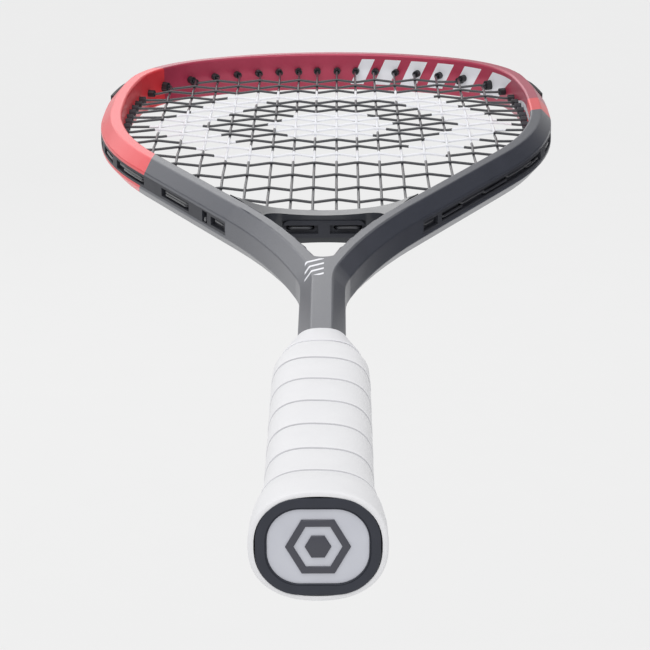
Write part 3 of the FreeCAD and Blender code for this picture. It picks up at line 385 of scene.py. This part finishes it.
STENCIL_MIDDLE = (2, 545)
STENCIL_OUTSIDE = 76        # of the hexagon, middle to flat
STENCIL_INSIDE = 54
STENCIL_CORE = 27


def string_finish():
    nylon_string = Finish("string_nylon", Coat_Weight=0.35, Coat_Roughness=0.1, IOR=1.5)
    spot, (x, y, z) = nylon_string.place()
    twist = nylon_string.node("TexWave", {"bands_direction": "DIAGONAL"},
                              {"Vector": spot, "Scale": 1.1, "Distortion": 0.6}, 1)
    cloud = nylon_string.noise(spot, 0.2, 2.0)
    dark = nylon_string.mix(cloud, hue("26272B"), hue("3A3B41"))
    dark = nylon_string.mix(twist * 0.35, dark, hue("55575E"))
    # Stencil: a broad hexagon ring with a solid hexagon in it
    across = abs(x - STENCIL_MIDDLE[0])
    along = abs(y - STENCIL_MIDDLE[1])
    ring = (across * 0.866 + along * 0.5).or_else(along)
    stencil = ((ring < STENCIL_OUTSIDE) * (ring > STENCIL_INSIDE)).or_else(ring < STENCIL_CORE)
    speckle = nylon_string.noise(spot, 1.6, 3.0) < 0.68
    ink = stencil * (0.7 + 0.3 * speckle) * (z > -0.9)
    colour = nylon_string.mix(ink, dark, hue("F2F3F8"))
    nylon_string.show(Base_Color=colour, Roughness=0.26 + 0.4 * ink + 0.08 * twist)
    nylon_string.bump(twist, 0.03 * MM, 0.6)
    return nylon_string


string_nylon = string_finish()
main_runs = [main_stops(main) for main in range(len(MAINS))]
row_runs = [row_stops(row) for row in range(len(ROWS))]
main_string = woven_string("main_string", "woven_main_string", 1, MAINS, ROWS, main_runs, LAYER)
cross_string = woven_string("cross_string", "woven_cross_string", 0, ROWS, MAINS, row_runs, -LAYER)
for piece, node in ((main_string, "main_string"), (cross_string, "cross_string")):
    piece.material_slots[0].material = string_nylon.material
    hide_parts(node)
    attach(piece, "root")
for node in ("main_string_knots", "cross_string_knots"):
    string_nylon.dress(node)


# ------------------------------------------------------------ handle pallets
# Two halves of rigid polyurethane foam glued round the shaft, which give the handle its section.
# They are moulded with a thin skin over fine closed cells.

def pallet_foam():
    foam = Finish("pallet_foam_skin", IOR=1.45)
    spot, _ = foam.place()
    cells = foam.node("TexVoronoi", {}, {"Vector": spot, "Scale": 1.4}, "Distance")
    cloud = foam.noise(spot, 0.1, 3.0)
    colour = foam.mix(cloud, hue("B9A684"), hue("C9B794"))
    foam.show(Base_Color=colour, Roughness=0.72 + 0.15 * cells)
    foam.bump(cells, 0.12 * MM, 0.8)
    return foam


foam_skin = pallet_foam()
for half in ("upper_handle_pallet", "lower_handle_pallet"):
    foam_skin.dress(half)


# ------------------------------------------------------------ butt cap
# A moulded cap pressed over the end of the pallets and stapled to them. Its end face is a rounded
# ring with a shallow seat for the badge, and a fine bead runs round the seat.

cap_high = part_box("butt_cap")[1]
plate_low, plate_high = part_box("badge_plate")
CAP_RADIUS = 12.9 * MM      # corner of the end face seen from behind the hand
CAP_FLOOR = 4.0 * MM
SKIRT_WALL = 1.4 * MM
SEAT_GAP = 0.1 * MM
BEAD = 0.45 * MM
SHARP = math.radians(50)    # an edge that turns more than this is bevelled


def rounded_slab(half_width, half_height, radius, y):
    """A shape that starts as one rounded rectangle across the handle, and its face."""
    shape = bmesh.new()
    signs = ((1, -1), (1, 1), (-1, 1), (-1, -1))
    corners = [shape.verts.new((x * half_width, y, z * half_height)) for x, z in signs]
    shape.faces.new(corners)
    bmesh.ops.bevel(shape, geom=corners, offset=radius, offset_type="OFFSET", affect="VERTICES",
                    segments=14, profile=0.5, material=-1)
    return shape, shape.faces[:][0]


def push(shape, face, distance):
    """Extrudes a face along the handle and returns the new end face."""
    pushed = bmesh.ops.extrude_face_region(shape, geom=[face])
    end = [item for item in pushed["geom"] if isinstance(item, bmesh.types.BMFace)][0]
    if face.is_valid and face not in pushed["geom"]:
        bmesh.ops.delete(shape, geom=[face], context="FACES_ONLY")
    bmesh.ops.translate(shape, verts=end.verts, vec=(0, distance, 0))
    return end


def shrink(shape, face, margin):
    """Insets a face; the face itself becomes the inner one."""
    bmesh.ops.inset_region(shape, faces=[face], thickness=margin, use_even_offset=True)


def soften(shape, offset):
    """Bevels every sharp edge."""
    sharp = [edge for edge in shape.edges if edge.calc_face_angle(0) > SHARP]
    bmesh.ops.bevel(shape, geom=sharp, offset=offset, offset_type="OFFSET", affect="EDGES",
                    segments=3, profile=0.5, material=-1, clamp_overlap=True)


def finished_piece(shape, name, node, finish, sharp=math.radians(40)):
    bmesh.ops.remove_doubles(shape, verts=shape.verts, dist=0.001 * MM)
    bmesh.ops.recalc_face_normals(shape, faces=shape.faces)
    for face in shape.faces:
        face.smooth = True
    for edge in shape.edges:
        edge.smooth = edge.calc_face_angle(0) < sharp
    mesh = bpy.data.meshes.new(name)
    shape.to_mesh(mesh)
    shape.free()
    mesh.materials.append(finish.material)
    piece = linked(name, mesh)
    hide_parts(node)
    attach(piece, "root")


def butt_cap():
    shape, seat = rounded_slab(cap_high.x, cap_high.z, CAP_RADIUS, CAP_FLOOR)
    skirt = seat.copy()
    seat = push(shape, seat, -CAP_FLOOR)
    mouth = push(shape, skirt, cap_high.y - CAP_FLOOR)
    pallet_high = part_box("upper_handle_pallet")[1]
    narrowed = (pallet_high.x / cap_high.x, 1, pallet_high.z / cap_high.z)
    bmesh.ops.scale(shape, verts=mouth.verts, vec=narrowed)
    shrink(shape, mouth, SKIRT_WALL)
    push(shape, mouth, CAP_FLOOR - cap_high.y)
    rim = cap_high.x - plate_high.x - SEAT_GAP
    shrink(shape, seat, rim - BEAD)
    bead = push(shape, seat, BEAD / 2)
    shrink(shape, bead, BEAD / 2)
    bead = push(shape, bead, -BEAD / 2)
    shrink(shape, bead, BEAD / 2)
    push(shape, bead, plate_high.y)
    soften(shape, 0.25 * MM)
    return shape


def cap_plastic():
    plastic = Finish("cap_plastic", IOR=1.46)
    spot, _ = plastic.place()
    grain = plastic.noise(spot, 5.0, 3.0)
    cloud = plastic.noise(spot, 0.15, 2.0)
    colour = plastic.mix(cloud, hue("2A2D36"), hue("343742"))
    plastic.show(Base_Color=colour, Roughness=0.42 + 0.14 * grain)
    plastic.bump(grain, 0.05 * MM, 0.7)
    return plastic


finished_piece(butt_cap(), "butt_cap_ring", "butt_cap", cap_plastic())


# ------------------------------------------------------------ cap staples
# Two zinc-plated wire staples, driven through the cap's skirt into the foam, above and below.

def staple_steel():
    steel = Finish("staple_wire", Metallic=1.0)
    spot, _ = steel.place()
    drawn = steel.node("Mapping", {}, {"Vector": spot, "Scale": (0.4, 6.0, 6.0)})
    line = steel.noise(drawn, 1.0, 3.0)
    steel.show(Base_Color=steel.mix(line, hue("9A9CA0"), hue("C4C6CA")), Roughness=0.3 + 0.2 * line)
    steel.bump(line, 0.02 * MM, 0.6)
    return steel


staple_steel().dress("butt_cap_staples")


# ------------------------------------------------------------ badge plate and emblem
# A satin silver plate glued in the cap's seat, with a plain hexagon moulded proud of it in dark
# plastic: a ring and a core with bevelled edges.

EMBLEM_RING_INSIDE = 7.0 / 9.4      # shares of the ring's outer radius
EMBLEM_CORE = 3.8 / 9.4


def badge_silver():
    silver = Finish("badge_silver", Metallic=0.35, Coat_Weight=0.15, Coat_Roughness=0.2)
    spot, _ = silver.place()
    grain = silver.noise(spot, 6.0, 2.0)
    cloud = silver.noise(spot, 0.12, 2.0)
    silver.show(Base_Color=silver.mix(cloud, hue("CBCDD6"), hue("D8DAE2")), Roughness=0.4 + 0.12 * grain)
    silver.bump(grain, 0.02 * MM, 0.6)
    return silver


def badge_plate():
    thickness = plate_high.y - plate_low.y
    radius = CAP_RADIUS - (cap_high.x - plate_high.x)
    shape, face = rounded_slab(plate_high.x, plate_high.z, radius, plate_low.y)
    push(shape, face.copy(), thickness)
    soften(shape, 0.15 * MM)
    return shape


def emblem_plastic():
    plastic = Finish("emblem_plastic", Coat_Weight=0.2, Coat_Roughness=0.25)
    spot, _ = plastic.place()
    grain = plastic.noise(spot, 5.0, 3.0)
    lines = plastic.node("TexWave", {"bands_direction": "Z"},
                         {"Vector": spot, "Scale": 0.5, "Distortion": 0.0}, 1)
    colour = plastic.mix(grain, hue("3C3D46"), hue("4A4B55"))
    plastic.show(Base_Color=colour, Roughness=0.38 + 0.15 * grain)
    plastic.bump(grain * 0.4 + lines * 0.6, 0.05 * MM, 0.6)
    return plastic


def emblem():
    low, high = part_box("badge_emblem")
    shape = bmesh.new()
    radius = high.x
    height = high.y - low.y
    for outer, inner in ((radius, EMBLEM_RING_INSIDE * radius), (EMBLEM_CORE * radius, 0)):
        turn = Matrix.Rotation(math.pi / 2, 4, "X")
        disc = bmesh.ops.create_circle(shape, cap_ends=True, radius=outer, segments=6, matrix=turn)
        face = disc["verts"][0].link_faces[0]
        bmesh.ops.rotate(shape, verts=face.verts, matrix=Matrix.Rotation(math.pi / 2, 3, "Y"))
        bmesh.ops.translate(shape, verts=face.verts, vec=(0, high.y, 0))
        if inner:
            bmesh.ops.inset_region(shape, faces=[face], use_boundary=True, use_even_offset=True,
                                   thickness=(outer - inner) * math.sqrt(3) / 2)
            bmesh.ops.delete(shape, geom=[face], context="FACES_ONLY")
    flat = shape.faces[:]
    raised = bmesh.ops.extrude_face_region(shape, geom=flat, use_keep_orig=True)["geom"]
    verts = [item for item in raised if isinstance(item, bmesh.types.BMVert)]
    bmesh.ops.translate(shape, verts=verts, vec=(0, -height, 0))
    front = [edge for edge in shape.edges if all(vert.co.y < low.y + height / 4 for vert in edge.verts)
             and edge.calc_face_angle(0) > 1]
    bmesh.ops.bevel(shape, geom=front, offset=0.3 * MM, offset_type="OFFSET", affect="EDGES",
                    segments=2, profile=0.5, material=-1)
    return shape


finished_piece(badge_plate(), "badge_disc", "badge_plate", badge_silver())
finished_piece(emblem(), "badge_hexagon", "badge_emblem", emblem_plastic())


# ------------------------------------------------------------ grip and finishing tape
# A strip of cushioned polyurethane, wound from the butt up the handle with each turn lapped over
# the one below. A wide white tape closes its upper end round the taper.

GRIP_PITCH = 22.6 * MM
GRIP_THICKNESS = 1.8 * MM
SEAM_ON_TOP = 47.1 * MM     # lower edge of one turn where it passes the middle of the top
SEAM_LEAN = 5.0 * MM        # the hand that wound it held the seams square over the top
HEM_WIDTH = 17.0            # first turn, laid square over the butt
STEPS_A_TURN = 72
ROUNDNESS = 3.0             # of the handle's section: 2 is an ellipse, more is squarer
TURNS_BELOW = 4             # turns that the winding starts below that seam, out of sight
LAP = 3.0                   # a turn over the one below
HEM_OVERLAP = 2.0
BUTT_ROUNDNESS = 2.35
grip_low, grip_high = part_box("grip_wrap")
tape_low, tape_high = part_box("grip_finishing_tape")
FLARE_END = 40 * MM
TAPER_START = 148 * MM
CORE = 20 * MM              # radius that a strip is wound at before it is fitted to the handle

# Outside of the wrapped handle: distance from the butt, half width and half height
HANDLE_STAGES = ((0.0, grip_high.x, grip_high.z), (4 * MM, grip_high.x, grip_high.z),
                 (FLARE_END, 16.8 * MM, 13.8 * MM), (TAPER_START, 16.8 * MM, 13.8 * MM),
                 (tape_high.y, 10.1 * MM, 11.1 * MM))


def handle_half_sizes(y):
    """Half width and half height of the wrapped handle at a distance from the butt."""
    stages = HANDLE_STAGES
    y = min(max(y, stages[0][0]), stages[-1][0])
    for (start, wide, high), (end, next_wide, next_high) in zip(stages, stages[1:]):
        if start <= y <= end:
            share = (y - start) / (end - start)
            share = share * share * (3 - 2 * share) if end == FLARE_END else share
            return wide + (next_wide - wide) * share, high + (next_high - high) * share
    return stages[-1][1:]


def fit_to_handle(shape):
    """Moves a strip wound on a round core onto the handle's own section."""
    for vert in shape.verts:
        radius = math.hypot(vert.co.x, vert.co.z)
        x, z = vert.co.x / radius, vert.co.z / radius
        wide, high = handle_half_sizes(vert.co.y)
        wide -= GRIP_THICKNESS
        high -= GRIP_THICKNESS
        flared = min(max(vert.co.y / FLARE_END, 0), 1)
        square = BUTT_ROUNDNESS + (ROUNDNESS - BUTT_ROUNDNESS) * flared
        reach = ((abs(x) / wide) ** square + (abs(z) / high) ** square) ** (-1 / square)
        reach += radius - CORE
        vert.co.x, vert.co.z = x * reach, z * reach


def wound_strip(section, start, turns, pitch):
    """Spins a strip's section, (along, height) points, round the handle from the top."""
    shape = bmesh.new()
    verts = [shape.verts.new((0, start + along * MM, CORE + height * MM)) for along, height in section]
    edges = [shape.edges.new((verts[k - 1], verts[k])) for k in range(len(verts))]
    closed = pitch == 0
    rise = (0, pitch / STEPS_A_TURN, 0)
    bmesh.ops.spin(shape, geom=verts + edges, cent=(0, 0, 0), axis=(0, 1, 0), dvec=rise,
                   angle=2 * math.pi * turns, steps=round(STEPS_A_TURN * turns),
                   use_merge=closed, use_duplicate=False)
    return shape


def trim(shape, y, side):
    """Cuts a wound strip square across the handle and closes the cut; side 1 keeps what is above y."""
    everything = shape.verts[:] + shape.edges[:] + shape.faces[:]
    cut = bmesh.ops.bisect_plane(shape, geom=everything, dist=0.001 * MM, clear_outer=True,
                                 plane_co=(0, y, 0), plane_no=(0, -side, 0))
    rim = [item for item in cut["geom_cut"] if isinstance(item, bmesh.types.BMEdge)]
    bmesh.ops.triangle_fill(shape, edges=rim, use_beauty=True)


# Lapped strip: the lower edge rides on the skived upper edge of the turn below
seen_width = GRIP_PITCH / MM        # of each turn, in millimetres
GRIP_SECTION = ((0.0, 0.78), (0.0, 1.22), (0.12, 1.48), (0.45, 1.62), (1.2, 1.65),
                (seen_width / 2, 1.6), (seen_width - 1.5, 1.45), (seen_width - 0.5, 1.2),
                (seen_width + 0.1, 0.7), (seen_width + LAP, 0.55), (seen_width + LAP, 0.06),
                (LAP + 0.4, 0.06), (LAP - 0.1, 0.76))


def grip_leather():
    leather = Finish("grip_polyurethane", Sheen_Weight=0.15, IOR=1.4)
    spot, (x, y, z) = leather.place()
    angle = x.maths("ARCTAN2", x, z)
    lean = x.maths("SINE", angle) * (SEAM_LEAN / MM)
    wound = (y + lean - angle * (seen_width / (2 * math.pi)) - SEAM_ON_TOP / MM) % seen_width
    # Painted shade: a grey line darkens each seam where a turn laps over the one below, and the top edge of
    # the hem, where the lapped edge would shade it
    painted_seam_shade = (wound < 0.2).or_else(wound > seen_width - 0.35) * (y > HEM_WIDTH + 1)
    painted_seam_shade = painted_seam_shade.or_else(abs(y - HEM_WIDTH - 0.6) < 0.25)
    grain = leather.node("TexVoronoi", {}, {"Vector": spot, "Scale": 1.9}, "Distance")
    cloud = leather.noise(spot, 0.09, 3.0)
    fine = leather.noise(spot, 3.0, 3.0)
    white = leather.mix(cloud, hue("EDEDF0"), hue("F4F4F6"))
    colour = leather.mix(painted_seam_shade * (0.35 + 0.35 * cloud), white, hue("A9A9AE"))
    leather.show(Base_Color=colour, Roughness=0.55 + 0.12 * fine)
    leather.bump(grain * 0.5 + fine * 0.3 + cloud * 1.5, 0.1 * MM, 0.55)
    return leather


def grip_strip():
    first = SEAM_ON_TOP - TURNS_BELOW * GRIP_PITCH
    turns = (tape_low.y - first) / GRIP_PITCH + 1
    shape = wound_strip(GRIP_SECTION, first, turns, GRIP_PITCH)
    for vert in shape.verts:
        vert.co.y -= SEAM_LEAN * vert.co.x / math.hypot(vert.co.x, vert.co.z)
    trim(shape, grip_low.y + (HEM_WIDTH - HEM_OVERLAP) * MM, 1)
    trim(shape, tape_low.y, -1)
    fit_to_handle(shape)
    return shape


def grip_hem():
    section = ((0.0, 0.1), (0.0, 1.2), (0.25, 1.6), (0.8, 1.78), (2.0, 1.8), (HEM_WIDTH / 2, 1.8),
               (HEM_WIDTH - 0.8, 1.8), (HEM_WIDTH - 0.2, 1.7), (HEM_WIDTH, 1.45), (HEM_WIDTH, 0.1))
    shape = wound_strip(section, grip_low.y, 1, 0)
    fit_to_handle(shape)
    return shape


def tape_vinyl():
    vinyl = Finish("tape_vinyl", Coat_Weight=0.1, Coat_Roughness=0.4)
    spot, _ = vinyl.place()
    stretch = vinyl.node("Mapping", {}, {"Vector": spot, "Scale": (0.25, 3.0, 0.25)})
    line = vinyl.noise(stretch, 1.0, 3.0)
    cloud = vinyl.noise(spot, 0.1, 2.0)
    vinyl.show(Base_Color=vinyl.mix(cloud, hue("EBEBEF"), hue("F3F3F6")), Roughness=0.42 + 0.1 * line)
    vinyl.bump(line + cloud, 0.05 * MM, 0.6)
    return vinyl


def tape_band():
    width = (tape_high.y - tape_low.y) / MM
    section = ((-0.6, 1.5), (-0.6, 1.74), (-0.3, 1.9), (0.6, 1.92), (width - 0.8, 1.8), (width - 0.2, 1.7),
               (width, 1.4), (width, 1.0), (0.0, 1.2))
    shape = wound_strip(section, tape_low.y, 1, 0)
    fit_to_handle(shape)
    return shape


white_grip = grip_leather()
soft_edge = math.radians(60)
for shape, name in ((grip_strip(), "wound_grip"), (grip_hem(), "grip_hem")):
    finished_piece(shape, name, "grip_wrap", white_grip, soft_edge)
finished_piece(tape_band(), "finishing_band", "grip_finishing_tape", tape_vinyl(), soft_edge)


# ------------------------------------------------------------ studio
# A pale floor far below, an even white sky, a broad light overhead and a soft box beyond the head.

FLOOR_DROP = 0.6            # metres below the racket
SHEET_HALF = 12             # half sides of the floor and of the cloth, in metres
CLOTH_HALF = 0.9


def studio_sheet(name, half_size, turn, centre, finish):
    """A flat square of the studio, turned and moved, in one finish."""
    shape = bmesh.new()
    bmesh.ops.create_grid(shape, x_segments=1, y_segments=1, size=half_size)
    bmesh.ops.rotate(shape, verts=shape.verts, matrix=turn)
    bmesh.ops.translate(shape, verts=shape.verts, vec=centre)
    mesh = bpy.data.meshes.new(name)
    shape.to_mesh(mesh)
    shape.free()
    mesh.materials.append(finish.material)
    return linked(name, mesh)


def studio_tone(finish, dark, light):
    spot, _ = finish.place()
    return finish.mix(finish.noise(spot, 0.02), hue(dark), hue(light))


paper = Finish("floor_paper", Roughness=1.0, Emission_Strength=0.63, Specular_IOR_Level=0.0)
paper.show(Base_Color=studio_tone(paper, "808080", "828282"), Emission_Color=hue("FFFFFF"))
floor = studio_sheet("studio_floor", SHEET_HALF, Matrix.Identity(3), (0, 2, -FLOOR_DROP), paper)

# A dark cloth off to the right, seen only in reflections, keeps the right-hand facets deep
felt = Finish("cloth_black", Roughness=1.0, Specular_IOR_Level=0.0)
felt.show(Base_Color=studio_tone(felt, "3A3A3E", "424246"))
cloth = studio_sheet("dark_cloth", CLOTH_HALF, Matrix.Rotation(math.pi / 2, 3, "Y"), (0.9, 1.2, 0.0), felt)
for ray in ("camera", "diffuse", "shadow"):
    setattr(cloth, "visible_" + ray, False)

world = bpy.data.worlds.new("studio_sky")
bpy.context.scene.world = world
world.use_nodes = True
sky = world.node_tree.nodes["Background"]
sky.inputs["Color"].default_value = (1.0, 1.0, 1.0, 1.0)
sky.inputs["Strength"].default_value = 0.5


def studio_light(name, kind, energy, direction):
    lamp = bpy.data.lights.new(name, kind)
    lamp.energy = energy
    light = linked(name, lamp)
    light.rotation_euler = Vector(direction).to_track_quat("-Z", "Y").to_euler()
    return light


overhead = studio_light("overhead_light", "SUN", 1.6, (0.15, 0.38, -0.9))
overhead.data.angle = math.radians(60)

far_box = studio_light("far_box", "AREA", 6, (0.75, -1.95, -0.75))
far_box.data.shape = "RECTANGLE"
far_box.data.size = 1.8
far_box.data.size_y = 1.0
far_box.location = (-0.75, 2.3, 0.75)
far_box.visible_camera = False

bpy.context.scene.view_settings.view_transform = "Standard"

PITCH, YAW, ROLL = (math.radians(angle) for angle in (16.831, -0.380, -0.397))
forward = Vector((math.sin(YAW) * math.cos(PITCH), math.cos(YAW) * math.cos(PITCH), -math.sin(PITCH)))
level = Vector((math.cos(YAW), -math.sin(YAW), 0))
rise = level.cross(forward)
right = math.cos(ROLL) * level + math.sin(ROLL) * rise
up = -math.sin(ROLL) * level + math.cos(ROLL) * rise
turn = Matrix((right, up, -forward)).transposed()
lens = bpy.data.cameras.new("studio_camera")
lens.lens = 150.7
lens.sensor_width = 36.0
lens.clip_start = 0.05
camera = linked("studio_camera", lens)
camera.matrix_world = Matrix.Translation((0.00721, -0.72174, 0.28430)) @ turn.to_4x4()
bpy.context.scene.camera = camera
